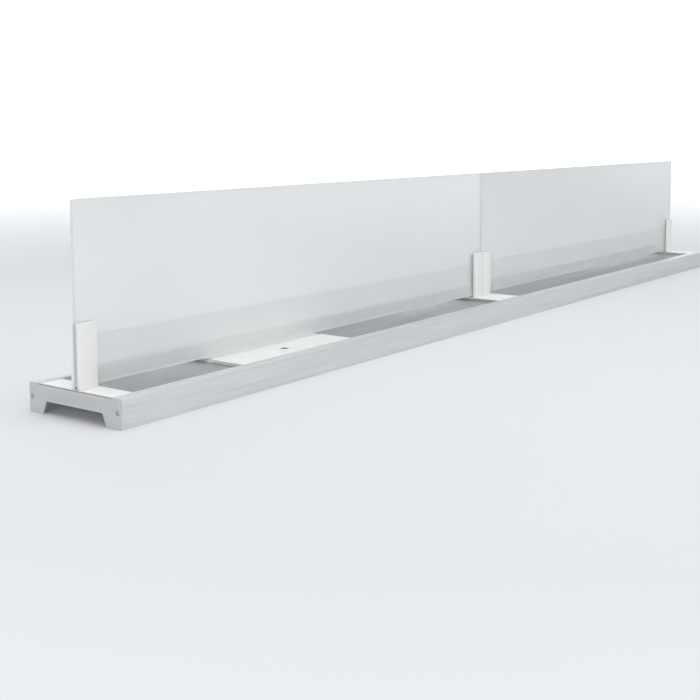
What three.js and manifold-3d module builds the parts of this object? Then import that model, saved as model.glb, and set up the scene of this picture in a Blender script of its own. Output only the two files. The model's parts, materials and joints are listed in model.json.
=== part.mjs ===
// Desk privacy panel: a two-bay frosted glass screen, clamped between flat bars that stand
// on cover plates in a low aluminium channel. The channel lies between two back-to-back desks.
// Millimetres. X runs along the screen (near end at -X), +Y to the rear, +Z up.
// The origin is under the middle of the channel, on the plane that it stands on.

import * as THREE from "three";
import { mergeVertices } from "three/addons/utils/BufferGeometryUtils.js";
import Module from "manifold-3d";

// ---- Driving dimensions -------------------------------------------------------------

// Overall
const BAY_LENGTH = 1219.2; // pitch of the two panels
const CHANNEL_WIDTH = 203.2; // over both rails

// Glass panels
const PANEL_HEIGHT = 283;
const PANEL_THICKNESS = 6;
const PANEL_GAP = 2; // between the two panels
const PANEL_LIFT = 3.6; // under edge of the glass above the cover plates
const PANEL_TOP_RADIUS = 5;
const PANEL_FOOT_RADIUS = 2;

// Clamp bars and the liners between them and the glass
const BAR_WIDTH = 36;
const BAR_HEIGHT = 101;
const BAR_THICKNESS = 5.6;
const BAR_CORNER = 0.8;
const BAR_FOOT_CORNER = 0.2;
const LINER_THICKNESS = 0.5;
const LINER_INSET = 1; // liner edge inside the bar edge

// Cover plates and the bars that carry them
const PLATE_THICKNESS = 1.5;
const END_PLATE_COVER = 41; // length of the cover plate at each end
const MIDDLE_PLATE_COVER = 90;
const COVER_OVERHANG = 6; // of a cover plate past its carrier

// Rails
const RAIL_HEIGHT = 46.6;
const RAIL_WIDTH = 19.5;
const RAIL_WALL = 2.5;
const RAIL_CHAMFER = 0.8;
const LEDGE_DEPTH = 8;
const LEDGE_THICKNESS = 2.5;
const LIP_GROOVE_WIDTH = 1.8;
const LIP_GROOVE_DEPTH = 1.2;
const LIP_GROOVE_INSET = 6.4; // groove centre from the inner edge of the lip
const PORT_WEB = 8; // height of the web that holds the screw port
const PORT_HEIGHT = 24.5; // of the screw port above the floor
const PORT_INSET = 6.8; // of the screw port from the outer face

// Levels below the rail lips
const PLATE_DROP = 1.1;
const TRAY_DROP = 8;
const TRAY_THICKNESS = 1.5;
const TRAY_GAP = 1; // between a tray and what it butts against

// End plates
const END_THICKNESS = 2.5;
const END_STANDOFF = 2.5; // shadow gap between an end plate and the cover plate
const END_DIP = 2.7; // of the middle of the end plate below its ears
const NOTCH_DEPTH = 20.4;
const NOTCH_HALF_TOP = 62.6;
const NOTCH_HALF_FOOT = 71;

// Cable hatch in the near bay
const HATCH_START = 289.7; // from the near end of the glass
const HATCH_LENGTH = 304.8;
const LID_THICKNESS = 2;
const LID_CORNER = 1.5;
const FINGER_HOLE_RADIUS = 8;
const FINGER_HOLE_OUT = 43; // from the middle of the channel
const FRAME_INSET = 5; // of the frame's ends under the lids' ends
const FRAME_END = 14; // width of the hatch frame's end strips
const FRAME_SIDE = 7;
const FRAME_SPINE = 13; // half width of the frame's middle strip
const SPINE_RIB = 3.2; // half width of the rib between the two lids
const HINGE_OUT = 5.4; // hinge axis from the middle of the channel
const KNUCKLE_RADIUS = 1.75;
const KNUCKLE_PITCH = 58.2;
const HINGE_PIN_RADIUS = 0.9;
const LID_KNUCKLES = [-1, 1]; // places along the lid, in pitches from its middle
const FRAME_KNUCKLES = [-2, 0, 2];
const LEAF_LAP = 1; // of a knuckle's leaf over the lid's sheet

// Fits
const SEAT = 0.1; // between faces that rest on each other
const SLIDE = 0.3; // round pieces that drop in between their neighbours
const HOLE_CLEARANCE = 0.25; // on the radius, round a screw
const PIN_CLEARANCE = 0.1;
const SWING_CLEARANCE = 0.4; // round what turns with a lid

// Screws: countersunk ones have a cone of the head's height
const CLAMP_SCREW = { radius: 2, length: 15.5, head: 4, headHeight: 2, countersunk: true };
const BAR_SCREW = { radius: 1.5, length: 19, head: 2.8, headHeight: 2.4, countersunk: false };
const CARRIER_SCREW = { radius: 1.5, length: 10.5, head: 2.9, headHeight: 1.5, countersunk: true };
const END_SCREW = { radius: 2, length: 16, head: 3.6, headHeight: 1.9, countersunk: true };
const CLAMP_SCREW_HEIGHTS = [30, 78]; // above the foot of the bar
const CARRIER_SCREW_PITCH = 50; // at each ledge of a carrier that is longer than this
const GLASS_HOLE_CLEARANCE = 1.5;
const SOCKET_SHARE = 0.5; // socket radius over head radius
const SOCKET_DEPTH_SHARE = 0.6; // socket depth over head height
const TIP_SHARE = 0.5; // chamfer of the tip over the shank's radius
const ROUND_STEPS = 12;

// ---- Derived levels and half widths -------------------------------------------------

const HALF_WIDTH = CHANNEL_WIDTH / 2;
const HALF_CHANNEL = HALF_WIDTH - RAIL_WIDTH; // inner edge of each lip
const HALF_INFILL = HALF_CHANNEL - SLIDE; // plates, trays and lids between the lips
const PLATE_TOP = RAIL_HEIGHT - PLATE_DROP;
const CARRIER_TOP = PLATE_TOP - PLATE_THICKNESS - SEAT;
const TRAY_TOP = RAIL_HEIGHT - TRAY_DROP;
const LEDGE_TOP = TRAY_TOP - TRAY_THICKNESS - SEAT;
const CARRIER_FOOT = LEDGE_TOP + SEAT;
const BAR_FOOT = PLATE_TOP + SEAT;
const PANEL_FOOT = PLATE_TOP + PANEL_LIFT;
const LINER_INNER = PANEL_THICKNESS / 2 + SEAT;
const LINER_OUTER = LINER_INNER + LINER_THICKNESS;
const BAR_INNER = LINER_OUTER + SEAT;
const BAR_OUTER = BAR_INNER + BAR_THICKNESS;
const BAR_MIDDLE = (BAR_INNER + BAR_OUTER) / 2;
const LEDGE_SCREW_Y = HALF_CHANNEL - LEDGE_DEPTH / 2;
const HINGE_HEIGHT = PLATE_TOP - KNUCKLE_RADIUS;
const KNUCKLE_LENGTH = KNUCKLE_PITCH - SWING_CLEARANCE;
const HATCH_X = -BAY_LENGTH + HATCH_START + HATCH_LENGTH / 2;
const FRAME_HALF = HATCH_LENGTH / 2 - FRAME_INSET;
const RAIL_HALF = BAY_LENGTH + END_STANDOFF - SEAT;

// ---- Materials ----------------------------------------------------------------------

const FINISHES = {
  frosted: { color: 0xdfe3e2, roughness: 0.55, metalness: 0, transparent: true, opacity: 0.6 },
  white: { color: 0xe9e9e7, roughness: 0.45, metalness: 0 },
  satin: { color: 0xb4b6b8, roughness: 0.4, metalness: 0.9 },
  silver: { color: 0xc3c5c6, roughness: 0.5, metalness: 0.6 },
  liner: { color: 0x6f7274, roughness: 0.8, metalness: 0 },
  screw: { color: 0x8b8e91, roughness: 0.35, metalness: 1 },
};

const assembly = new THREE.Group();

function addPiece(name, geometry, finish) {
  const mesh = new THREE.Mesh(geometry, new THREE.MeshStandardMaterial(FINISHES[finish]));
  mesh.name = name;
  assembly.add(mesh);
  return mesh;
}

// ---- Solids -------------------------------------------------------------------------

const wasm = await Module();
wasm.setup();

function toSolid(geometry) {
  const bare = geometry.clone();
  bare.deleteAttribute("normal");
  bare.deleteAttribute("uv");
  const merged = mergeVertices(bare, 1e-4);
  return new wasm.Manifold(
    new wasm.Mesh({
      numProp: 3,
      vertProperties: new Float32Array(merged.attributes.position.array),
      triVerts: new Uint32Array(merged.index.array),
    }),
  );
}

function toGeometry(solid) {
  const mesh = solid.getMesh();
  const geometry = new THREE.BufferGeometry();
  geometry.setAttribute("position", new THREE.BufferAttribute(mesh.vertProperties, 3));
  geometry.setIndex(new THREE.BufferAttribute(mesh.triVerts, 1));
  geometry.computeVertexNormals();
  return geometry;
}

function cut(geometry, tools) {
  return toGeometry(tools.reduce((solid, tool) => solid.subtract(toSolid(tool)), toSolid(geometry)));
}

function join(geometry, extras) {
  return toGeometry(extras.reduce((solid, extra) => solid.add(toSolid(extra)), toSolid(geometry)));
}

// A box between two corners.
function block([x0, y0, z0], [x1, y1, z1]) {
  const geometry = new THREE.BoxGeometry(x1 - x0, y1 - y0, z1 - z0);
  return geometry.translate((x0 + x1) / 2, (y0 + y1) / 2, (z0 + z1) / 2);
}

// A round bar along X, centred on its place.
function rodAlongX(radius, length, [x, y, z]) {
  const geometry = new THREE.CylinderGeometry(radius, radius, length, ROUND_STEPS);
  return geometry.rotateZ(Math.PI / 2).translate(x, y, z);
}

// A round hole in an outline.
function roundHole(x, y, radius) {
  return new THREE.Path().absarc(x, y, radius, 0, Math.PI * 2, true);
}

// A rectangle with its own corner radius at the foot and at the top.
function roundedOutline(x0, y0, x1, y1, foot, top) {
  const shape = new THREE.Shape();
  const right = Math.PI / 2;
  shape.absarc(x0 + foot, y0 + foot, foot, 2 * right, 3 * right);
  shape.absarc(x1 - foot, y0 + foot, foot, 3 * right, 4 * right);
  shape.absarc(x1 - top, y1 - top, top, 0, right);
  shape.absarc(x0 + top, y1 - top, top, right, 2 * right);
  shape.closePath();
  return shape;
}

function extrude(shape, depth, curveSegments = 3) {
  return new THREE.ExtrudeGeometry(shape, { depth, bevelEnabled: false, curveSegments });
}

// An outline in Y and Z, swept along X from x0.
function sweepAlongX(shape, x0, length, curveSegments) {
  const turn = new THREE.Matrix4().makeBasis(
    new THREE.Vector3(0, 1, 0),
    new THREE.Vector3(0, 0, 1),
    new THREE.Vector3(1, 0, 0),
  );
  return extrude(shape, length, curveSegments).applyMatrix4(turn).translate(x0, 0, 0);
}

// An outline in X and Z, with its faces at y0 and y0 + depth.
function sheetAlongY(shape, y0, depth, curveSegments) {
  return extrude(shape, depth, curveSegments).rotateX(Math.PI / 2).translate(0, y0 + depth, 0);
}

// An outline in X and Y, standing on z0.
function sheetAlongZ(shape, z0, depth, curveSegments) {
  return extrude(shape, depth, curveSegments).translate(0, 0, z0);
}

// ---- Screws -------------------------------------------------------------------------

// Turns a solid made along +Y so that its head looks towards a direction, and places it.
function aim(geometry, towards, place) {
  const turn = new THREE.Quaternion().setFromUnitVectors(new THREE.Vector3(0, 1, 0), towards);
  return geometry.applyQuaternion(turn).translate(...place);
}

function headProfile({ radius, head, headHeight, countersunk }, growth) {
  const under = new THREE.Vector2(radius + growth, -headHeight);
  const brim = new THREE.Vector2(head + growth, 0);
  return countersunk ? [under, brim] : [under, new THREE.Vector2(head + growth, -headHeight), brim];
}

// The head's face is at 0 and the shank runs towards -Y.
function screw(kind) {
  const socket = kind.head * SOCKET_SHARE;
  const bottom = -kind.headHeight * SOCKET_DEPTH_SHARE;
  const tip = kind.radius * TIP_SHARE;
  const profile = [
    new THREE.Vector2(0, -kind.length),
    new THREE.Vector2(kind.radius - tip, -kind.length),
    new THREE.Vector2(kind.radius, -kind.length + tip),
    ...headProfile(kind, 0),
    new THREE.Vector2(socket, 0),
    new THREE.Vector2(socket, bottom),
    new THREE.Vector2(0, bottom),
  ];
  return new THREE.LatheGeometry(profile, ROUND_STEPS);
}

// The space for a screw: the same profile with clearance, open above the head.
function screwHole(kind) {
  const above = kind.headHeight;
  const end = -kind.length - HOLE_CLEARANCE;
  const profile = [
    new THREE.Vector2(0, end),
    new THREE.Vector2(kind.radius + HOLE_CLEARANCE, end),
    ...headProfile(kind, HOLE_CLEARANCE),
    new THREE.Vector2(kind.head + HOLE_CLEARANCE, above),
    new THREE.Vector2(0, above),
  ];
  return new THREE.LatheGeometry(profile, ROUND_STEPS);
}

// Each screw is a piece of its own, numbered in its row.
function addScrews(name, kind, towards, places) {
  places.forEach((place, index) => {
    addPiece(`${name}_${index + 1}`, aim(screw(kind), towards, place), "screw");
  });
}

const UP = new THREE.Vector3(0, 0, 1);
const DOWN = new THREE.Vector3(0, 0, -1);
const REAR = new THREE.Vector3(0, 1, 0);

// ---- Rails and end plates -----------------------------------------------------------

// The rail's section, in distance from the middle of the channel and height.
function railSection() {
  const outer = -HALF_WIDTH;
  const inner = -HALF_CHANNEL;
  const ledge = inner + LEDGE_DEPTH;
  const groove = inner - LIP_GROOVE_INSET;
  const half = LIP_GROOVE_WIDTH / 2;
  const section = new THREE.Shape();
  section.moveTo(outer, 0);
  section.lineTo(inner, 0);
  section.lineTo(inner, LEDGE_TOP - LEDGE_THICKNESS);
  section.lineTo(ledge, LEDGE_TOP - LEDGE_THICKNESS);
  section.lineTo(ledge, LEDGE_TOP);
  section.lineTo(inner, LEDGE_TOP);
  section.lineTo(inner, RAIL_HEIGHT - RAIL_CHAMFER);
  section.lineTo(inner - RAIL_CHAMFER, RAIL_HEIGHT);
  section.lineTo(groove + half, RAIL_HEIGHT);
  section.lineTo(groove + half, RAIL_HEIGHT - LIP_GROOVE_DEPTH);
  section.lineTo(groove - half, RAIL_HEIGHT - LIP_GROOVE_DEPTH);
  section.lineTo(groove - half, RAIL_HEIGHT);
  section.lineTo(outer + RAIL_CHAMFER, RAIL_HEIGHT);
  section.lineTo(outer, RAIL_HEIGHT - RAIL_CHAMFER);
  section.closePath();

  const left = outer + RAIL_WALL;
  const right = inner - RAIL_WALL;
  const webFoot = PORT_HEIGHT - PORT_WEB / 2;
  const webTop = PORT_HEIGHT + PORT_WEB / 2;
  const roof = RAIL_HEIGHT - LIP_GROOVE_DEPTH - RAIL_WALL;
  section.holes.push(rectangleHole(left, RAIL_WALL, right, webFoot));
  section.holes.push(rectangleHole(left, webTop, right, roof));
  section.holes.push(roundHole(outer + PORT_INSET, PORT_HEIGHT, END_SCREW.radius + HOLE_CLEARANCE));
  return section;
}

function rectangleHole(x0, y0, x1, y1) {
  const path = new THREE.Path();
  path.moveTo(x0, y0);
  path.lineTo(x0, y1);
  path.lineTo(x1, y1);
  path.lineTo(x1, y0);
  path.closePath();
  return path;
}

// Both rails are cut from the same bar; the rear one is turned half round.
function addRails(carriers) {
  const bar = sweepAlongX(railSection(), -RAIL_HALF, 2 * RAIL_HALF, ROUND_STEPS / 2);
  const places = carriers.flatMap(({ from, to }) => carrierScrewPlaces(from, to));
  const frontHoles = places.filter(([, y]) => y < 0).map(carrierScrewHole);
  const rearHoles = places.filter(([, y]) => y > 0).map(carrierScrewHole);
  addPiece("rail_front", cut(bar, frontHoles), "satin");
  const turnedHoles = rearHoles.map((hole) => hole.rotateZ(Math.PI));
  addPiece("rail_rear", cut(bar, turnedHoles).rotateZ(Math.PI), "satin");
}

function endPlateOutline() {
  const saddle = RAIL_HEIGHT - END_DIP;
  const outline = new THREE.Shape();
  outline.moveTo(-HALF_WIDTH, 0);
  outline.lineTo(-NOTCH_HALF_FOOT, 0);
  outline.lineTo(-NOTCH_HALF_TOP, NOTCH_DEPTH);
  outline.lineTo(NOTCH_HALF_TOP, NOTCH_DEPTH);
  outline.lineTo(NOTCH_HALF_FOOT, 0);
  outline.lineTo(HALF_WIDTH, 0);
  outline.lineTo(HALF_WIDTH, RAIL_HEIGHT);
  outline.lineTo(HALF_CHANNEL, RAIL_HEIGHT);
  outline.lineTo(HALF_CHANNEL, saddle);
  outline.lineTo(-HALF_CHANNEL, saddle);
  outline.lineTo(-HALF_CHANNEL, RAIL_HEIGHT);
  outline.lineTo(-HALF_WIDTH, RAIL_HEIGHT);
  outline.closePath();
  return outline;
}

function addEndPlate(name, side) {
  const inner = side * (BAY_LENGTH + END_STANDOFF);
  const outer = inner + side * END_THICKNESS;
  const outward = new THREE.Vector3(side, 0, 0);
  const places = [-1, 1].map((way) => [outer, way * (HALF_WIDTH - PORT_INSET), PORT_HEIGHT]);
  const plate = sweepAlongX(endPlateOutline(), Math.min(inner, outer), END_THICKNESS);
  const holes = places.map((place) => aim(screwHole(END_SCREW), outward, place));
  addPiece(`end_plate_${name}`, cut(plate, holes), "silver");
  addScrews(`end_screw_${name}`, END_SCREW, outward, places);
}

// ---- Stations: a carrier on the ledges, a cover plate and the clamps on it ------------

// One screw at each ledge, or two where the carrier is long enough.
function carrierScrewPlaces(from, to) {
  const middle = (from + to) / 2;
  const offsets = to - from < CARRIER_SCREW_PITCH ? [0] : [-CARRIER_SCREW_PITCH / 2, CARRIER_SCREW_PITCH / 2];
  return offsets.flatMap((offset) =>
    [-1, 1].map((side) => [middle + offset, side * LEDGE_SCREW_Y, CARRIER_TOP]),
  );
}

function carrierScrewHole(place) {
  return aim(screwHole(CARRIER_SCREW), UP, place);
}

// The screws that come up through the carrier and the plate into a clamp's two bars.
function barScrewPlaces(barX) {
  const height = CARRIER_FOOT - BAR_SCREW.headHeight - SEAT;
  return [-1, 1].map((side) => [barX, side * BAR_MIDDLE, height]);
}

function barScrewHole(place) {
  return aim(screwHole(BAR_SCREW), DOWN, place);
}

function addStation({ name, plateFrom, plateTo, from, to, clamps }) {
  const barPlaces = clamps.flatMap(({ x }) => barScrewPlaces(x));
  const carrierPlaces = carrierScrewPlaces(from, to);
  const barHoles = barPlaces.map(barScrewHole);

  const carrier = block([from, -HALF_INFILL, CARRIER_FOOT], [to, HALF_INFILL, CARRIER_TOP]);
  const carrierHoles = carrierPlaces.map(carrierScrewHole);
  addPiece(`carrier_${name}`, cut(carrier, [...barHoles, ...carrierHoles]), "satin");

  const plate = block(
    [plateFrom, -HALF_INFILL, PLATE_TOP - PLATE_THICKNESS],
    [plateTo, HALF_INFILL, PLATE_TOP],
  );
  addPiece(`cover_plate_${name}`, cut(plate, barHoles), "white");

  addScrews(`carrier_screw_${name}`, CARRIER_SCREW, UP, carrierPlaces);
  addScrews(`bar_screw_${name}`, BAR_SCREW, DOWN, barPlaces);
  for (const clamp of clamps) addClamp(clamp, barHoles);
}

// ---- Clamps --------------------------------------------------------------------------

function clampScrewPlaces(x) {
  return CLAMP_SCREW_HEIGHTS.map((height) => [x, BAR_OUTER, BAR_FOOT + height]);
}

function barBlank(x, yFrom) {
  const half = BAR_WIDTH / 2;
  const top = BAR_FOOT + BAR_HEIGHT;
  const outline = roundedOutline(x - half, BAR_FOOT, x + half, top, BAR_FOOT_CORNER, BAR_CORNER);
  return sheetAlongY(outline, yFrom, BAR_THICKNESS, 2);
}

// A channel of soft strip that wraps the foot of the glass inside the clamp.
function linerBlank(x) {
  const half = BAR_WIDTH / 2 - LINER_INSET;
  const hollowFoot = PANEL_FOOT - SEAT;
  const foot = hollowFoot - LINER_THICKNESS;
  const top = BAR_FOOT + BAR_HEIGHT - LINER_INSET;
  const whole = block([x - half, -LINER_OUTER, foot], [x + half, LINER_OUTER, top]);
  const hollow = block(
    [x - half - LINER_INSET, -LINER_INNER, hollowFoot],
    [x + half + LINER_INSET, LINER_INNER, top + LINER_INSET],
  );
  return cut(whole, [hollow]);
}

function addClamp({ name, x }, barHoles) {
  const places = clampScrewPlaces(x);
  const holes = places.map((place) => aim(screwHole(CLAMP_SCREW), REAR, place));
  addPiece(`front_bar_${name}`, cut(barBlank(x, -BAR_OUTER), [...barHoles, ...holes]), "white");
  addPiece(`rear_bar_${name}`, cut(barBlank(x, BAR_INNER), [...barHoles, ...holes]), "white");
  addPiece(`liner_${name}`, cut(linerBlank(x), holes), "liner");
  addScrews(`clamp_screw_${name}`, CLAMP_SCREW, REAR, places);
}

// ---- Glass ---------------------------------------------------------------------------

function addPanel(name, from, to, clamps) {
  const top = PANEL_FOOT + PANEL_HEIGHT;
  const outline = roundedOutline(from, PANEL_FOOT, to, top, PANEL_FOOT_RADIUS, PANEL_TOP_RADIUS);
  const radius = CLAMP_SCREW.radius + GLASS_HOLE_CLEARANCE;
  for (const { x } of clamps)
    for (const [, , z] of clampScrewPlaces(x)) outline.holes.push(roundHole(x, z, radius));
  const glass = sheetAlongY(outline, -PANEL_THICKNESS / 2, PANEL_THICKNESS, 5);
  addPiece(`panel_${name}`, glass, "frosted");
}

// ---- Trays ---------------------------------------------------------------------------

function addTray(name, from, to) {
  const foot = TRAY_TOP - TRAY_THICKNESS;
  const tray = block(
    [from + TRAY_GAP, -HALF_INFILL, foot],
    [to - TRAY_GAP, HALF_INFILL, TRAY_TOP],
  );
  addPiece(`tray_${name}`, tray, "satin");
}

// ---- Cable hatch: a frame on the ledges and two lids hinged at its middle -------------

function knucklesAt(places, radius, length) {
  return places.map((place) =>
    rodAlongX(radius, length, [HATCH_X + place * KNUCKLE_PITCH, -HINGE_OUT, HINGE_HEIGHT]),
  );
}

function pinHole() {
  const radius = HINGE_PIN_RADIUS + PIN_CLEARANCE;
  return rodAlongX(radius, HATCH_LENGTH, [HATCH_X, -HINGE_OUT, HINGE_HEIGHT]);
}

// The posts under the frame's knuckles.
function knucklePosts(foot) {
  const half = KNUCKLE_LENGTH / 2;
  return FRAME_KNUCKLES.map((place) => {
    const x = HATCH_X + place * KNUCKLE_PITCH;
    return block(
      [x - half, -HINGE_OUT - KNUCKLE_RADIUS, foot],
      [x + half, -HINGE_OUT + KNUCKLE_RADIUS, HINGE_HEIGHT],
    );
  });
}

function addHatchFrame() {
  const from = HATCH_X - FRAME_HALF;
  const to = HATCH_X + FRAME_HALF;
  const top = PLATE_TOP - LID_THICKNESS - SEAT;
  const outline = roundedOutline(from, -HALF_INFILL, to, HALF_INFILL, LID_CORNER, LID_CORNER);
  for (const side of [-1, 1]) {
    const near = side * FRAME_SPINE;
    const far = side * (HALF_INFILL - FRAME_SIDE);
    outline.holes.push(
      rectangleHole(from + FRAME_END, Math.min(near, far), to - FRAME_END, Math.max(near, far)),
    );
  }
  const base = sheetAlongZ(outline, CARRIER_FOOT, top - CARRIER_FOOT);
  const rib = block([from, -SPINE_RIB, CARRIER_FOOT], [to, SPINE_RIB, PLATE_TOP]);

  const frontGroove = rodAlongX(
    KNUCKLE_RADIUS + SWING_CLEARANCE, HATCH_LENGTH, [HATCH_X, -HINGE_OUT, HINGE_HEIGHT],
  );
  const turned = (geometry) =>
    geometry.clone().translate(-HATCH_X, 0, 0).rotateZ(Math.PI).translate(HATCH_X, 0, 0);
  const bothSides = (list) => [...list, ...list.map(turned)];

  const grooved = cut(join(base, [rib]), bothSides([frontGroove]));
  const knuckles = knucklesAt(FRAME_KNUCKLES, KNUCKLE_RADIUS, KNUCKLE_LENGTH);
  const posts = knucklePosts(CARRIER_FOOT);
  const raised = join(grooved, bothSides([...knuckles, ...posts]));
  addPiece("hatch_frame", cut(raised, bothSides([pinHole()])), "white");
}

// Made as the front lid; the rear one is the same piece turned half round.
function lidGeometry() {
  const half = HATCH_LENGTH / 2 - SLIDE;
  const inner = -HINGE_OUT - KNUCKLE_RADIUS - SWING_CLEARANCE;
  const outline = roundedOutline(
    HATCH_X - half, -HALF_INFILL, HATCH_X + half, inner, LID_CORNER, LID_CORNER,
  );
  outline.holes.push(roundHole(HATCH_X, -FINGER_HOLE_OUT, FINGER_HOLE_RADIUS));
  const foot = PLATE_TOP - LID_THICKNESS;
  const sheet = sheetAlongZ(outline, foot, LID_THICKNESS, ROUND_STEPS);
  const reach = KNUCKLE_LENGTH / 2;
  const leaves = LID_KNUCKLES.map((place) => {
    const x = HATCH_X + place * KNUCKLE_PITCH;
    return block([x - reach, inner - LEAF_LAP, foot], [x + reach, -HINGE_OUT, PLATE_TOP]);
  });
  const knuckles = knucklesAt(LID_KNUCKLES, KNUCKLE_RADIUS, KNUCKLE_LENGTH);
  return cut(join(sheet, [...leaves, ...knuckles]), [pinHole()]);
}

function addHatchSide(name, turn) {
  const lid = lidGeometry().translate(-HATCH_X, 0, 0).rotateZ(turn).translate(HATCH_X, 0, 0);
  addPiece(`hatch_lid_${name}`, lid, "white");
  const reach = 2 * Math.max(...FRAME_KNUCKLES) * KNUCKLE_PITCH + KNUCKLE_LENGTH;
  const pin = rodAlongX(HINGE_PIN_RADIUS, reach, [0, -HINGE_OUT, HINGE_HEIGHT]);
  addPiece(`hinge_pin_${name}`, pin.rotateZ(turn).translate(HATCH_X, 0, 0), "screw");
}

// ---- The assembly --------------------------------------------------------------------

const halfGap = PANEL_GAP / 2;
const clampNear = { name: "near", x: -BAY_LENGTH + BAR_WIDTH / 2 };
const clampMiddleA = { name: "middle_a", x: -halfGap - BAR_WIDTH / 2 };
const clampMiddleB = { name: "middle_b", x: halfGap + BAR_WIDTH / 2 };
const clampFar = { name: "far", x: BAY_LENGTH - BAR_WIDTH / 2 };

const stations = [
  {
    name: "near",
    plateFrom: -BAY_LENGTH,
    plateTo: -BAY_LENGTH + END_PLATE_COVER,
    from: -BAY_LENGTH,
    to: -BAY_LENGTH + END_PLATE_COVER - COVER_OVERHANG,
    clamps: [clampNear],
  },
  {
    name: "middle",
    plateFrom: -MIDDLE_PLATE_COVER / 2,
    plateTo: MIDDLE_PLATE_COVER / 2,
    from: -MIDDLE_PLATE_COVER / 2 + COVER_OVERHANG,
    to: MIDDLE_PLATE_COVER / 2 - COVER_OVERHANG,
    clamps: [clampMiddleA, clampMiddleB],
  },
  {
    name: "far",
    plateFrom: BAY_LENGTH - END_PLATE_COVER,
    plateTo: BAY_LENGTH,
    from: BAY_LENGTH - END_PLATE_COVER + COVER_OVERHANG,
    to: BAY_LENGTH,
    clamps: [clampFar],
  },
];
const [nearStation, middleStation, farStation] = stations;

addPanel("near", -BAY_LENGTH, -halfGap, [clampNear, clampMiddleA]);
addPanel("far", halfGap, BAY_LENGTH, [clampMiddleB, clampFar]);
stations.forEach(addStation);
addRails(stations);
addEndPlate("near", -1);
addEndPlate("far", 1);
addTray("near", nearStation.to, HATCH_X - FRAME_HALF);
addTray("middle", HATCH_X + FRAME_HALF, middleStation.from);
addTray("far", middleStation.to, farStation.from);
addHatchFrame();
addHatchSide("front", 0);
addHatchSide("rear", Math.PI);

export default assembly;
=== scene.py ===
"""Desk privacy panel: the looks of the two-bay frosted screen and the channel it stands in."""

import json
import math

import bmesh
import bpy
from mathutils import Matrix, Vector
from mathutils.geometry import tessellate_polygon


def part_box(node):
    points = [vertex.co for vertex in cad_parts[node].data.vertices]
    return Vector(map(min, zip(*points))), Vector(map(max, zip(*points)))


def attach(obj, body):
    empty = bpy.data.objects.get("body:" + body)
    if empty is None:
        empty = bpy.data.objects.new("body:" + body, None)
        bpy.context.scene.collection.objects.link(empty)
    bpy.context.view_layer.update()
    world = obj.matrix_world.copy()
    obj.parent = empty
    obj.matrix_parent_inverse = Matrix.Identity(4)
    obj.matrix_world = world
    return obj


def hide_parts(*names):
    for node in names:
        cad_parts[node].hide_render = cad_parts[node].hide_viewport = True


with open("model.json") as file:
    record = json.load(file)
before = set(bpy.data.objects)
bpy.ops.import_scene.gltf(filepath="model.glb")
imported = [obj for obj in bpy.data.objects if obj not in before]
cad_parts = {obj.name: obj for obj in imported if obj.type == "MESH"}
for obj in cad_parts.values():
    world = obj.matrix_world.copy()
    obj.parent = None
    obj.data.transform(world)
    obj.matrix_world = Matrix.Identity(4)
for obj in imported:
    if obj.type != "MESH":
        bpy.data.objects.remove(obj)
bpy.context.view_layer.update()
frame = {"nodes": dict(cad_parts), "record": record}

MM = 0.001
record = frame["record"]
BODY_OF = {node: body for body, nodes in record["behaviour"]["bodies"].items() for node in nodes}
NODES = sorted(frame["nodes"])

# Edge rounding of each kind of piece
GLASS_ARRIS = 0.9 * MM
COATED_EDGE = 0.45 * MM
ALUMINIUM_EDGE = 0.25 * MM
ROUND_STEPS = 40
SHARP_ANGLE = math.radians(40)
SEAT = 0.1 * MM  # between faces that rest on each other


# ---- Outlines -------------------------------------------------------------------------
# A ring is a closed list of 2D points. An outer ring runs anticlockwise and a hole runs
# clockwise, so the material is always on the left.


def filleted(corners, steps=5):
    """A ring through (x, y, radius) corners, each rounded to its radius."""
    ring = []
    for i, (x, y, radius) in enumerate(corners):
        here = Vector((x, y))
        before = (Vector(corners[i - 1][:2]) - here).normalized()
        after = (Vector(corners[(i + 1) % len(corners)][:2]) - here).normalized()
        if radius == 0:
            ring.append(here)
            continue
        half = before.angle(after) / 2
        centre = here + (before + after).normalized() * radius / math.sin(half)
        start = here + before * radius / math.tan(half) - centre
        end = here + after * radius / math.tan(half) - centre
        sweep = start.angle_signed(end)
        for k in range(steps + 1):
            ring.append(centre + Matrix.Rotation(-sweep * k / steps, 2) @ start)
    return ring


def rectangle(x0, y0, x1, y1, radius):
    return filleted([(x0, y0, radius), (x1, y0, radius), (x1, y1, radius), (x0, y1, radius)])


def rectangular_hole(x0, y0, x1, y1, radius):
    return rectangle(x0, y0, x1, y1, radius)[::-1]


def round_hole(x, y, radius, steps=ROUND_STEPS):
    angles = [-2 * math.pi * k / steps for k in range(steps)]
    return [Vector((x + radius * math.cos(a), y + radius * math.sin(a))) for a in angles]


def inset(ring, distance):
    """The ring moved into the material by a distance."""
    moved = []
    for i, here in enumerate(ring):
        along = (here - ring[i - 1]).normalized()
        onward = (ring[(i + 1) % len(ring)] - here).normalized()
        normal = Vector((-along.y, along.x)) + Vector((-onward.y, onward.x))
        moved.append(here + normal * distance / max(0.5, normal.dot(normal) / 2))
    return moved


# ---- Solids ---------------------------------------------------------------------------

TO_FRAME = {
    "x": lambda u, v, w: Vector((w, u, v)),
    "y": lambda u, v, w: Vector((u, w, v)),
    "z": lambda u, v, w: Vector((u, v, w)),
}


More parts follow.
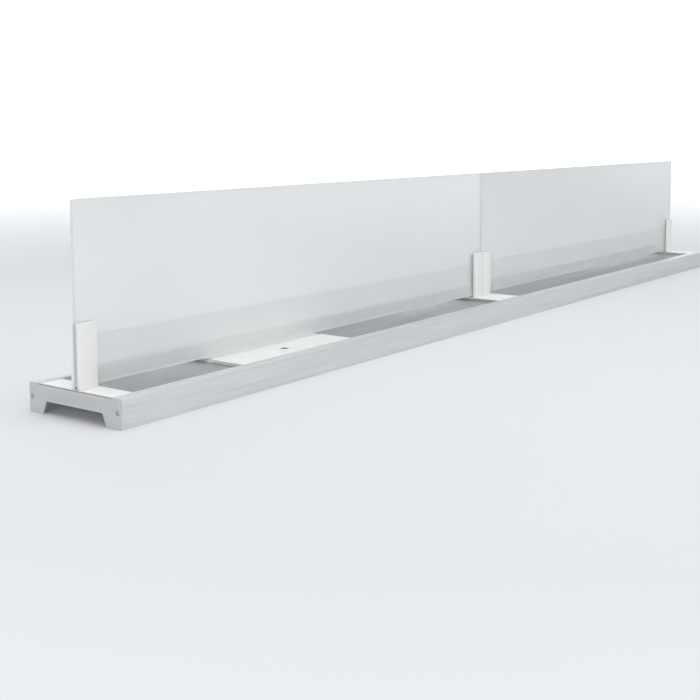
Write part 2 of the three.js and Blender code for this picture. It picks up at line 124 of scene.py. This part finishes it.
def add_plate(bm, outline, holes, axis, low, high, edge, steps=3, rim_slot=0):
    """A flat solid whose outline lies across an axis, with rounded rims on every edge."""
    turns = [math.pi / 2 * k / steps for k in range(steps + 1)]
    levels = [(edge * (1 - math.sin(a)), low + edge * (1 - math.cos(a))) for a in turns]
    levels += [(depth, high + low - height) for depth, height in reversed(levels)]
    place = TO_FRAME[axis]
    caps = {0: [], len(levels) - 1: []}
    for ring in [outline, *holes]:
        rows = []
        for depth, height in levels:
            rows.append([bm.verts.new(place(p.x, p.y, height)) for p in inset(ring, depth)])
        for level in caps:
            caps[level].append(rows[level])
        for lower, upper in zip(rows, rows[1:]):
            for i in range(len(ring)):
                face = bm.faces.new((lower[i - 1], lower[i], upper[i], upper[i - 1]))
                face.smooth = True
                face.material_index = rim_slot
    for rings in caps.values():
        flat = [vert for ring in rings for vert in ring]
        for corners in tessellate_polygon([[vert.co for vert in ring] for ring in rings]):
            bm.faces.new([flat[i] for i in corners])


def add_turned(bm, profile, place, towards, steps=ROUND_STEPS):
    """A turned solid. The profile is (radius, height, sides); six sides make a hexagon."""
    turn = Vector((0, 0, 1)).rotation_difference(Vector(towards))
    rows = []
    for radius, height, sides in profile:
        row = []
        for k in range(steps):
            angle = 2 * math.pi * k / steps
            reach = radius
            if sides:
                sector = 2 * math.pi / sides
                reach = radius / math.cos((angle + sector / 2) % sector - sector / 2)
            point = Vector((reach * math.cos(angle), reach * math.sin(angle), height))
            row.append(bm.verts.new(turn @ point + Vector(place)))
        rows.append(row)
    for lower, upper in zip(rows, rows[1:]):
        for k in range(steps):
            face = bm.faces.new((lower[k - 1], lower[k], upper[k], upper[k - 1]))
            face.smooth = True
    for row in (rows[0], rows[-1]):
        bm.faces.new(row)


def make_piece(node, bm, materials):
    """Turns a finished bmesh into the visible piece that stands for a CAD node."""
    bmesh.ops.recalc_face_normals(bm, faces=bm.faces)
    mesh = bpy.data.meshes.new("visible_" + node)
    bm.to_mesh(mesh)
    bm.free()
    for material in materials:
        mesh.materials.append(material)
    mesh.set_sharp_from_angle(angle=SHARP_ANGLE)
    piece = bpy.data.objects.new("visible_" + node, mesh)
    bpy.context.scene.collection.objects.link(piece)
    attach(piece, BODY_OF[node])
    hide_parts(node)


def centre_of(node):
    low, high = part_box(node)
    return (Vector(low) + Vector(high)) / 2


def named(prefix):
    return [node for node in NODES if node.startswith(prefix)]


# ---- Materials ------------------------------------------------------------------------


class Recipe:
    """A node material round one Principled shader, written as short calls."""

    def __init__(self, name, metallic=0.0, transmission=0.0, anisotropic=0.0):
        self.material = bpy.data.materials.new(name)
        self.material.use_nodes = True
        self.tree = self.material.node_tree
        self.shader = self.tree.nodes["Principled BSDF"]
        self.shader.inputs["Metallic"].default_value = metallic
        self.shader.inputs["Transmission Weight"].default_value = transmission
        self.shader.inputs["Anisotropic"].default_value = anisotropic
        self.place = self.tree.nodes.new("ShaderNodeTexCoord").outputs["Object"]

    def node(self, kind, **inputs):
        made = self.tree.nodes.new(kind)
        for name, value in inputs.items():
            self.feed(made.inputs[name.replace("_", " ")], value)
        return made

    def feed(self, socket, value):
        if isinstance(value, bpy.types.NodeSocket):
            self.tree.links.new(value, socket)
        else:
            socket.default_value = value

    def stretched(self, scale):
        mapping = self.node("ShaderNodeMapping", Vector=self.place)
        mapping.inputs["Scale"].default_value = scale
        return mapping.outputs["Vector"]

    def noise(self, scale, detail=2.0, roughness=0.5, stretch=None):
        vector = self.stretched(stretch) if stretch else self.place
        made = self.node("ShaderNodeTexNoise", Vector=vector, Scale=scale, Detail=detail)
        made.inputs["Roughness"].default_value = roughness
        return made.outputs["Fac"]

    def band(self, value, low, high, start=0.3, end=0.7):
        made = self.node("ShaderNodeMapRange", Value=value)
        made.inputs["From Min"].default_value = start
        made.inputs["From Max"].default_value = end
        made.inputs["To Min"].default_value = low
        made.inputs["To Max"].default_value = high
        return made.outputs["Result"]

    def blend(self, factor, first, second):
        made = self.tree.nodes.new("ShaderNodeMix")
        made.data_type = "RGBA"
        self.feed(made.inputs[0], factor)
        self.feed(made.inputs[6], (*first, 1.0))
        self.feed(made.inputs[7], (*second, 1.0))
        return made.outputs[2]

    def add(self, first, second):
        made = self.tree.nodes.new("ShaderNodeMath")
        made.operation = "ADD"
        self.feed(made.inputs[0], first)
        self.feed(made.inputs[1], second)
        return made.outputs[0]

    def set(self, socket, value):
        self.feed(self.shader.inputs[socket], value)

    def bump(self, height, distance, strength=1.0):
        made = self.node("ShaderNodeBump", Height=height, Distance=distance, Strength=strength)
        self.set("Normal", made.outputs["Normal"])


# Painted highlight along the glass foot: the height of the band that lets little light through, and
# of its fade.
FOOT_HIGHLIGHT_BAND = 2.4 * MM
FOOT_HIGHLIGHT_FADE = 0.8 * MM


def frosted_face():
    """Acid-etched glass: milky, with a fine even tooth and faint clouds. Along the foot is a
    painted highlight: a band that lets far less light through and so shows bright.
    """
    recipe = Recipe("frosted_face")
    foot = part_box("panel_near")[0][2]
    height = recipe.node("ShaderNodeSeparateXYZ", Vector=recipe.place).outputs["Z"]
    # Painted highlight: along the foot the glass lets almost no light through, so a bright line
    # shows there.
    clear = recipe.band(height, 0.05, 0.7, foot + FOOT_HIGHLIGHT_BAND, foot + FOOT_HIGHLIGHT_BAND + FOOT_HIGHLIGHT_FADE)
    recipe.set("Transmission Weight", clear)
    clouds = recipe.noise(3.0, detail=3.0)
    recipe.set("Base Color", recipe.blend(clouds, (0.86, 0.88, 0.88), (0.92, 0.935, 0.93)))
    recipe.set("Roughness", recipe.band(recipe.noise(60.0), 0.46, 0.52))
    recipe.bump(recipe.noise(2600.0, detail=4.0), 0.00002, 0.6)
    return recipe.material


def polished_rim():
    """The ground edge of the glass: smoother than the face and bright."""
    recipe = Recipe("polished_rim", transmission=0.4)
    streaks = recipe.noise(9.0, detail=3.0, stretch=(1.0, 14.0, 1.0))
    recipe.set("Base Color", recipe.blend(streaks, (0.76, 0.79, 0.785), (0.84, 0.86, 0.855)))
    recipe.set("Roughness", recipe.band(recipe.noise(220.0), 0.34, 0.44))
    recipe.bump(recipe.noise(900.0), 0.00001, 0.15)
    return recipe.material


def powder_coat(name, dark, light, roughness):
    """Satin powder coat: fine orange peel, faint clouds and slightly rubbed patches."""
    recipe = Recipe(name)
    clouds = recipe.noise(7.0, detail=4.0)
    recipe.set("Base Color", recipe.blend(recipe.band(clouds, 0.0, 1.0), dark, light))
    rubbed = recipe.band(recipe.noise(24.0, detail=5.0), -0.04, 0.06)
    peel = recipe.band(recipe.noise(900.0), roughness, roughness + 0.05)
    recipe.set("Roughness", recipe.add(rubbed, peel))
    recipe.bump(recipe.noise(1300.0, detail=3.0), 0.00005, 0.45)
    return recipe.material


def brushed_aluminium(name, dark, light, roughness, metallic):
    """Satin anodised aluminium, brushed along its length."""
    recipe = Recipe(name, metallic=metallic, anisotropic=0.5)
    fine = recipe.noise(1.0, detail=4.0, roughness=0.65, stretch=(12.0, 900.0, 900.0))
    coarse = recipe.noise(1.0, detail=3.0, stretch=(5.0, 190.0, 190.0))
    shade = recipe.band(recipe.add(fine, coarse), 0.0, 1.0, 0.75, 1.25)
    recipe.set("Base Color", recipe.blend(shade, dark, light))
    recipe.set("Roughness", recipe.band(coarse, roughness - 0.05, roughness + 0.07))
    recipe.bump(fine, 0.00003, 0.5)
    return recipe.material


def zinc_steel():
    """Zinc-plated screw steel with turning marks and a slightly cloudy shine."""
    recipe = Recipe("zinc_steel", metallic=1.0)
    clouds = recipe.noise(700.0, detail=4.0)
    recipe.set("Base Color", recipe.blend(clouds, (0.36, 0.37, 0.38), (0.52, 0.53, 0.54)))
    recipe.set("Roughness", recipe.band(recipe.noise(1500.0), 0.28, 0.42))
    recipe.bump(recipe.noise(3000.0), 0.00001, 0.4)
    return recipe.material


def soft_liner():
    """Matt grey elastomer."""
    recipe = Recipe("soft_liner")
    grain = recipe.noise(1800.0, detail=4.0)
    recipe.set("Base Color", recipe.blend(grain, (0.40, 0.41, 0.415), (0.48, 0.49, 0.495)))
    recipe.set("Roughness", recipe.band(grain, 0.7, 0.85))
    recipe.bump(grain, 0.00003, 0.5)
    return recipe.material


def stage_material():
    """Pale studio floor that turns into an evenly lit backdrop."""
    recipe = Recipe("studio_floor")
    shade = recipe.noise(1.5, detail=2.0)
    recipe.set("Base Color", recipe.blend(shade, (0.64, 0.65, 0.665), (0.66, 0.67, 0.685)))
    recipe.set("Roughness", 0.9)
    recipe.shader.inputs["Emission Color"].default_value = (0.965, 0.985, 1.0, 1.0)
    height = recipe.node("ShaderNodeSeparateXYZ", Vector=recipe.place).outputs["Z"]
    distance = recipe.tree.nodes.new("ShaderNodeVectorMath")
    distance.operation = "LENGTH"
    recipe.feed(distance.inputs[0], recipe.place)
    wall = recipe.band(height, 0.04, 0.4, 0.0, 3.0)
    fade = recipe.band(distance.outputs["Value"], 0.0, 0.62, 1.6, 5.5)
    recipe.set("Emission Strength", recipe.add(wall, fade))
    return recipe.material


FACE = frosted_face()
RIM = polished_rim()
WHITE = powder_coat("white_coat", (0.78, 0.78, 0.775), (0.83, 0.83, 0.825), 0.42)
SILVER = powder_coat("silver_coat", (0.49, 0.50, 0.51), (0.53, 0.54, 0.55), 0.40)
RAIL = brushed_aluminium("rail_aluminium", (0.66, 0.67, 0.68), (0.76, 0.77, 0.78), 0.40, 0.75)
TRAY = brushed_aluminium("tray_aluminium", (0.34, 0.35, 0.36), (0.42, 0.43, 0.44), 0.58, 0.5)
STEEL = zinc_steel()
LINER = soft_liner()


# ---- Glass panels ---------------------------------------------------------------------

GLASS_TOP_CORNER = 5 * MM
GLASS_FOOT_CORNER = 2 * MM
GLASS_HOLE = 3.5 * MM


def clamp_screw_holes(start, end, radius):
    """A hole for each clamp screw between two places along X."""
    centres = [centre_of(screw) for screw in named("clamp_screw_")]
    return [round_hole(c.x, c.z, radius) for c in centres if start < c.x < end]


def make_panels():
    for node in named("panel_"):
        low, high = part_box(node)
        outline = filleted(
            [
                (low[0], low[2], GLASS_FOOT_CORNER),
                (high[0], low[2], GLASS_FOOT_CORNER),
                (high[0], high[2], GLASS_TOP_CORNER),
                (low[0], high[2], GLASS_TOP_CORNER),
            ],
            steps=10,
        )
        holes = clamp_screw_holes(low[0], high[0], GLASS_HOLE)
        bm = bmesh.new()
        add_plate(bm, outline, holes, "y", low[1], high[1], GLASS_ARRIS, steps=4, rim_slot=1)
        make_piece(node, bm, [FACE, RIM])


# ---- Clamp bars, cover plates and trays -------------------------------------------------

BAR_CORNER = 1.0 * MM
CLAMP_HEAD_HOLE = 4.2 * MM
COVER_CORNER = 1.5 * MM
TRAY_CORNER = 1.0 * MM


def make_bars():
    for node in named("front_bar_") + named("rear_bar_"):
        low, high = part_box(node)
        outline = rectangle(low[0], low[2], high[0], high[2], BAR_CORNER)
        holes = []
        if node.startswith("rear_bar_"):
            holes = clamp_screw_holes(low[0], high[0], CLAMP_HEAD_HOLE)
        bm = bmesh.new()
        add_plate(bm, outline, holes, "y", low[1], high[1], COATED_EDGE)
        make_piece(node, bm, [WHITE])


def make_covers_and_trays():
    for node in named("cover_plate_"):
        low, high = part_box(node)
        bm = bmesh.new()
        outline = rectangle(low[0], low[1], high[0], high[1], COVER_CORNER)
        add_plate(bm, outline, [], "z", low[2], high[2], COATED_EDGE)
        make_piece(node, bm, [WHITE])
    for node in named("tray_"):
        low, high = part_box(node)
        bm = bmesh.new()
        outline = rectangle(low[0], low[1], high[0], high[1], TRAY_CORNER)
        add_plate(bm, outline, [], "z", low[2], high[2], ALUMINIUM_EDGE)
        make_piece(node, bm, [TRAY])


# ---- Rails and end plates ---------------------------------------------------------------

RAIL_WIDTH = 19.5 * MM
RAIL_WALL = 2.5 * MM
LEDGE_THICKNESS = 2.5 * MM
LIP_EDGE = 0.8 * MM
GROOVE_INSET = 6.4 * MM
GROOVE_WIDTH = 1.8 * MM
GROOVE_DEPTH = 1.2 * MM
PORT_WEB = 8 * MM
PORT_RADIUS = 2.2 * MM
SMALL = 0.3 * MM
RAIL_END_EDGE = 0.15 * MM


def rail_rings(low, high, side):
    """The rail's section across X: side is -1 for the front rail and 1 for the rear one."""
    outer = low[1] if side < 0 else high[1]
    tip = high[1] if side < 0 else low[1]
    inward = -side
    inner = outer + inward * RAIL_WIDTH
    groove = inner - inward * GROOVE_INSET
    half = inward * GROOVE_WIDTH / 2
    top = high[2]
    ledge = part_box("tray_near")[0][2] - SEAT
    port = centre_of("end_screw_near_1").z
    corners = [
        (outer, low[2], SMALL),
        (inner, low[2], SMALL),
        (inner, ledge - LEDGE_THICKNESS, SMALL),
        (tip, ledge - LEDGE_THICKNESS, SMALL),
        (tip, ledge, SMALL),
        (inner, ledge, SMALL),
        (inner, top, LIP_EDGE),
        (groove + half, top, SMALL),
        (groove + half, top - GROOVE_DEPTH, SMALL),
        (groove - half, top - GROOVE_DEPTH, SMALL),
        (groove - half, top, SMALL),
        (outer, top, LIP_EDGE),
    ]
    left = min(outer, inner) + RAIL_WALL
    right = max(outer, inner) - RAIL_WALL
    holes = [
        rectangular_hole(left, low[2] + RAIL_WALL, right, port - PORT_WEB / 2, SMALL),
        rectangular_hole(left, port + PORT_WEB / 2, right, top - GROOVE_DEPTH - RAIL_WALL, SMALL),
        round_hole(centre_of("end_screw_near_1").y * -side, port, PORT_RADIUS),
    ]
    ring = filleted(corners, steps=4)
    return (ring if side < 0 else ring[::-1]), holes


def make_rails():
    for node, side in (("rail_front", -1), ("rail_rear", 1)):
        low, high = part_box(node)
        outline, holes = rail_rings(low, high, side)
        bm = bmesh.new()
        add_plate(bm, outline, holes, "x", low[0], high[0], RAIL_END_EDGE, steps=2)
        make_piece(node, bm, [RAIL])


END_DIP = 2.7 * MM
NOTCH_DEPTH = 20.4 * MM
NOTCH_HALF_TOP = 62.6 * MM
NOTCH_HALF_FOOT = 71 * MM
END_CORNER = 1.2 * MM
NOTCH_CORNER = 2.5 * MM
END_HEAD_HOLE = 3.8 * MM


def make_end_plates():
    for name in ("near", "far"):
        node = "end_plate_" + name
        low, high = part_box(node)
        ear = high[1] - RAIL_WIDTH
        saddle = high[2] - END_DIP
        half = [
            (NOTCH_HALF_TOP, low[2] + NOTCH_DEPTH, NOTCH_CORNER),
            (NOTCH_HALF_FOOT, low[2], NOTCH_CORNER),
            (high[1], low[2], END_CORNER),
            (high[1], high[2], END_CORNER),
            (ear, high[2], END_CORNER / 2),
            (ear, saddle, END_CORNER / 2),
        ]
        corners = half + [(-y, z, radius) for y, z, radius in reversed(half)]
        screws = [centre_of(screw) for screw in named("end_screw_" + name)]
        holes = [round_hole(c.y, c.z, END_HEAD_HOLE) for c in screws]
        bm = bmesh.new()
        add_plate(bm, filleted(corners), holes, "x", low[0], high[0], COATED_EDGE)
        make_piece(node, bm, [SILVER])


# ---- Screws and hinge pins ----------------------------------------------------------------

# head radius, head height, shank radius, countersunk, and which way the head looks
CLAMP = (4.0, 2.0, 2.0, True, (0, 1, 0))
BAR = (2.8, 2.4, 1.5, False, (0, 0, -1))
CARRIER = (2.9, 1.5, 1.5, True, (0, 0, 1))
END_NEAR = (3.6, 1.9, 2.0, True, (-1, 0, 0))
END_FAR = (3.6, 1.9, 2.0, True, (1, 0, 0))
SCREW_KINDS = {
    "clamp_screw_": CLAMP,
    "bar_screw_": BAR,
    "carrier_screw_": CARRIER,
    "end_screw_near": END_NEAR,
    "end_screw_far": END_FAR,
}


HEAD_CHAMFER = 0.25 * MM
SOCKET_SHARE = 0.46
THREAD_PITCH = 0.7 * MM
THREAD_ROOT = 0.88
PIN_NOSE = 0.3 * MM


def screw_profile(head, height, shank, countersunk, length):
    """From the tip up to the bottom of the hexagon socket; the head's face is at 0."""
    chamfer = HEAD_CHAMFER
    socket = head * SOCKET_SHARE
    under = [(shank, -height, 0)] if countersunk else [(shank, -height, 0), (head, -height, 0)]
    brim = [(head, -2 * chamfer, 0), (head, -chamfer, 0), (head - chamfer, 0, 0)]
    recess = [
        (socket + chamfer, 0, 6),
        (socket, -chamfer, 6),
        (socket, -0.6 * height, 6),
        (socket * 0.1, -0.75 * height, 6),
    ]
    tip = [(shank * 0.5, -length, 0), (shank * 0.85, -length + 0.4 * shank, 0)]
    return tip + thread(shank, -length + 0.5 * shank, -height - 0.5 * MM) + under + brim + recess


def thread(shank, low, high):
    """Ridges that stand for the thread's crests and roots."""
    count = max(1, int((high - low) / THREAD_PITCH))
    ridges = []
    for k in range(count):
        base = low + (high - low) * k / count
        ridges.append((shank, base, 0))
        ridges.append((shank * THREAD_ROOT, base + THREAD_PITCH / 2, 0))
    return ridges + [(shank, high, 0)]


def make_screws():
    for prefix, (head, height, shank, countersunk, towards) in SCREW_KINDS.items():
        for node in named(prefix):
            low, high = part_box(node)
            extent = Vector(high) - Vector(low)
            length = abs(extent.dot(Vector(towards)))
            face = centre_of(node) + Vector(towards) * length / 2
            profile = screw_profile(head * MM, height * MM, shank * MM, countersunk, length)
            bm = bmesh.new()
            add_turned(bm, profile, face, towards, steps=36)
            make_piece(node, bm, [STEEL])


def make_hinge_pins():
    for node in named("hinge_pin_"):
        low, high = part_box(node)
        radius = (high[2] - low[2]) / 2
        half = (high[0] - low[0]) / 2
        profile = [
            (radius - PIN_NOSE, -half, 0),
            (radius, -half + PIN_NOSE, 0),
            (radius, half - PIN_NOSE, 0),
            (radius - PIN_NOSE, half, 0),
        ]
        bm = bmesh.new()
        add_turned(bm, profile, centre_of(node), (1, 0, 0), steps=24)
        make_piece(node, bm, [STEEL])


# ---- Cable hatch ----------------------------------------------------------------------------

LID_THICKNESS = 2 * MM
LID_CORNER = 1.5 * MM
FINGER_RADIUS = 8 * MM
FINGER_OUT = 43 * MM
WELL_END = 14 * MM
WELL_SIDE = 7 * MM
WELL_INNER = 13 * MM
WELL_CORNER = 3 * MM
RIB_HALF = 3.2 * MM
KNUCKLE_RADIUS = 1.75 * MM
KNUCKLE_PITCH = 58.2 * MM
KNUCKLE_GAP = 0.4 * MM
KNUCKLE_EDGE = 0.25 * MM
PIN_HOLE = 1.0 * MM
LID_KNUCKLES = (-1, 1)
FRAME_KNUCKLES = (-2, 0, 2)
POST_DROP = 1.1 * MM  # top of a post below the hinge axis
FRAME_STEP = 0.15 * MM  # of the frame's upper parts inside the edges of its base
SIDES = {"front": -1, "rear": 1}


def span(a, b):
    return min(a, b), max(a, b)


def knuckle_reaches(places):
    """Where each knuckle of a row starts and ends along X."""
    middle = centre_of("hatch_frame").x
    half = (KNUCKLE_PITCH - KNUCKLE_GAP) / 2
    return [(middle + k * KNUCKLE_PITCH - half, middle + k * KNUCKLE_PITCH + half) for k in places]


def add_knuckles(bm, places, axis):
    barrel = round_hole(axis.y, axis.z, KNUCKLE_RADIUS, steps=32)[::-1]
    bore = round_hole(axis.y, axis.z, PIN_HOLE, steps=20)
    for start, end in knuckle_reaches(places):
        add_plate(bm, barrel, [bore], "x", start, end, KNUCKLE_EDGE, steps=2)


def make_lids():
    for name, side in SIDES.items():
        node = "hatch_lid_" + name
        low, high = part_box(node)
        axis = centre_of("hinge_pin_" + name)
        inner = axis.y + side * (KNUCKLE_RADIUS + KNUCKLE_GAP)
        near, far = span(inner, low[1] if side < 0 else high[1])
        hole = round_hole(centre_of(node).x, side * FINGER_OUT, FINGER_RADIUS, steps=64)
        foot = high[2] - LID_THICKNESS
        bm = bmesh.new()
        sheet = rectangle(low[0], near, high[0], far, LID_CORNER)
        add_plate(bm, sheet, [hole], "z", foot, high[2], COATED_EDGE)
        for start, end in knuckle_reaches(LID_KNUCKLES):
            back, front = span(inner + side * COATED_EDGE * 2, axis.y)
            leaf = rectangle(start, back, end, front, KNUCKLE_EDGE / 2)
            add_plate(bm, leaf, [], "z", foot + KNUCKLE_EDGE, high[2], KNUCKLE_EDGE / 4, steps=1)
        add_knuckles(bm, LID_KNUCKLES, axis)
        make_piece(node, bm, [WHITE])


def make_hatch_frame():
    node = "hatch_frame"
    low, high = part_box(node)
    rest_top = high[2] - LID_THICKNESS - SEAT
    swing = KNUCKLE_RADIUS + KNUCKLE_GAP
    base_top = centre_of("hinge_pin_front").z - swing
    start, end = low[0] + WELL_END, high[0] - WELL_END
    wells = {}
    for name, side in SIDES.items():
        near, far = span(side * WELL_INNER, side * (high[1] - WELL_SIDE))
        wells[name] = rectangular_hole(start, near, end, far, WELL_CORNER)
    bm = bmesh.new()
    outline = rectangle(low[0], low[1], high[0], high[1], LID_CORNER)
    add_plate(bm, outline, list(wells.values()), "z", low[2], base_top, ALUMINIUM_EDGE)
    for name, side in SIDES.items():
        axis = centre_of("hinge_pin_" + name)
        near, far = span(axis.y + side * swing, side * (high[1] - FRAME_STEP))
        rest = rectangle(low[0] + FRAME_STEP, near, high[0] - FRAME_STEP, far, LID_CORNER)
        add_plate(bm, rest, [wells[name]], "z", base_top - COATED_EDGE, rest_top, ALUMINIUM_EDGE)
        add_knuckles(bm, FRAME_KNUCKLES, axis)
        for start, end in knuckle_reaches(FRAME_KNUCKLES):
            post = rectangle(
                start, axis.y - KNUCKLE_RADIUS, end, axis.y + KNUCKLE_RADIUS, KNUCKLE_EDGE
            )
            add_plate(bm, post, [], "z", low[2] + COATED_EDGE, axis.z - POST_DROP, KNUCKLE_EDGE / 2)
    rib = rectangle(low[0] + FRAME_STEP, -RIB_HALF, high[0] - FRAME_STEP, RIB_HALF, ALUMINIUM_EDGE)
    add_plate(bm, rib, [], "z", low[2] + COATED_EDGE, high[2], COATED_EDGE)
    make_piece(node, bm, [WHITE])


# ---- CAD nodes that keep their own shape ------------------------------------------------------


def dress(prefix, material):
    for node in named(prefix):
        mesh = frame["nodes"][node].data
        mesh.materials.clear()
        mesh.materials.append(material)


# ---- Studio -----------------------------------------------------------------------------------

# The camera, from the foot of the screen's near end, in metres and degrees.
CAMERA_OFFSET = Vector((-1.117, -1.315, 0.4305))
CAMERA_YAW = 36.69
CAMERA_PITCH = -5.62
CAMERA_ROLL = -0.19
CAMERA_LENS = 58.78
CAMERA_SHIFT = (0.0231, -0.1523)


def make_camera():
    low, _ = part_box("panel_near")
    yaw, pitch, roll = (math.radians(a) for a in (CAMERA_YAW, CAMERA_PITCH, CAMERA_ROLL))
    forward = Vector((
        math.cos(pitch) * math.cos(yaw), math.cos(pitch) * math.sin(yaw), math.sin(pitch),
    ))
    right = Vector((math.sin(yaw), -math.cos(yaw), 0))
    up = right.cross(forward)
    turned_right = right * math.cos(roll) + up * math.sin(roll)
    turned_up = up * math.cos(roll) - right * math.sin(roll)
    camera = bpy.data.objects.new("camera", bpy.data.cameras.new("camera"))
    basis = Matrix((turned_right, turned_up, -forward)).transposed().to_4x4()
    camera.matrix_world = Matrix.Translation(Vector((low[0], 0, 0)) + CAMERA_OFFSET) @ basis
    camera.data.lens = CAMERA_LENS
    camera.data.shift_x, camera.data.shift_y = CAMERA_SHIFT
    camera.data.clip_end = 100
    bpy.context.scene.collection.objects.link(camera)
    bpy.context.scene.camera = camera


def make_stage():
    """A pale floor that sweeps up into a backdrop far behind."""
    reach, rise, bend, steps = 14.0, 9.0, 4.0, 24
    rows = [(-reach, 0.0), (reach - bend, 0.0)]
    for k in range(1, steps + 1):
        angle = math.pi / 2 * k / steps
        rows.append((reach - bend + bend * math.sin(angle), bend * (1 - math.cos(angle))))
    rows.append((reach, rise))
    bm = bmesh.new()
    turn = Matrix.Rotation(math.radians(CAMERA_YAW - 90), 3, "Z")
    lines = [
        [bm.verts.new(turn @ Vector((side * reach * 1.5, y, z))) for side in (-1, 1)]
        for y, z in rows
    ]
    for first, second in zip(lines, lines[1:]):
        bm.faces.new((first[0], first[1], second[1], second[0])).smooth = True
    mesh = bpy.data.meshes.new("studio")
    bm.to_mesh(mesh)
    bm.free()
    mesh.materials.append(stage_material())
    studio = bpy.data.objects.new("studio", mesh)
    bpy.context.scene.collection.objects.link(studio)


def soft_light(name, place, aim, size, power):
    light = bpy.data.lights.new(name, "AREA")
    light.shape = "RECTANGLE"
    light.size, light.size_y = size
    light.energy = power
    lamp = bpy.data.objects.new(name, light)
    lamp.location = place
    lamp.rotation_mode = "QUATERNION"
    lamp.rotation_quaternion = (Vector(aim) - Vector(place)).to_track_quat("-Z", "Y")
    bpy.context.scene.collection.objects.link(lamp)


def make_lights():
    world = bpy.data.worlds.new("studio_world")
    world.use_nodes = True
    world.node_tree.nodes["Background"].inputs["Color"].default_value = (0.97, 0.985, 1.0, 1.0)
    world.node_tree.nodes["Background"].inputs["Strength"].default_value = 0.55
    bpy.context.scene.world = world
    soft_light("overhead", (-0.6, -0.5, 3.4), (0.0, 0.0, 0.0), (5.0, 3.0), 84)
    soft_light("front", (-1.4, -5.2, 2.2), (0.0, 0.0, 0.1), (5.0, 2.6), 40)
    soft_light("left", (-8.4, -3.2, 2.4), (0.0, 0.0, 0.1), (5.0, 3.2), 180)
    bpy.context.scene.view_settings.view_transform = "Standard"


make_panels()
make_bars()
make_covers_and_trays()
make_rails()
make_end_plates()
make_screws()
make_hinge_pins()
make_lids()
make_hatch_frame()
dress("liner_", LINER)
for place in ("near", "middle", "far"):
    dress("carrier_" + place, RAIL)
make_stage()
make_lights()
make_camera()
